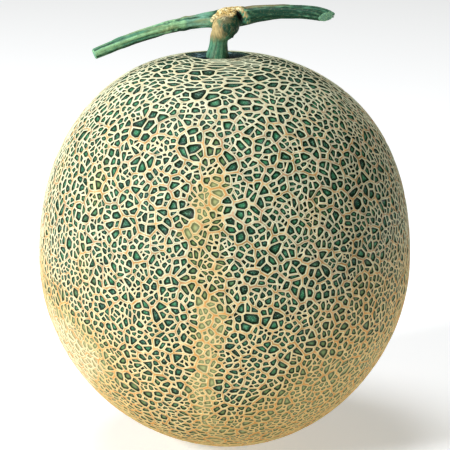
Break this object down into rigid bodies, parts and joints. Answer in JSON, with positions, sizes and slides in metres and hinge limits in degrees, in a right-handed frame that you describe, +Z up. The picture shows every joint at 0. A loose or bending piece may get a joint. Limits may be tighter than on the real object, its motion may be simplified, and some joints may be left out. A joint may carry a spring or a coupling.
{
  "type": "cantaloupe melon",
  "caption": "Whole round netted melon that stands on a small flat spot, with its T-shaped stem on top.",
  "frame": {"origin": "on the resting surface, at the middle of the small flat spot at the blossom end", "axes": "+Z up from the flat spot to the stem, +X along the stem's crosspiece towards its thick arm, -Y the side that faces a viewer with the thin arm on the left"},
  "size_m": [0.1451, 0.1448, 0.1731],
  "materials": {
    "rind": "raised cream corky net over smooth blue-green to yellow-green skin, satin",
    "stem": "ribbed green stalk, matte, with a tan corky patch at the node and dry cut ends"
  },
  "bodies": {
    "root": {"fruit": "rind", "stem": "stem"}
  },
  "joints": []
}
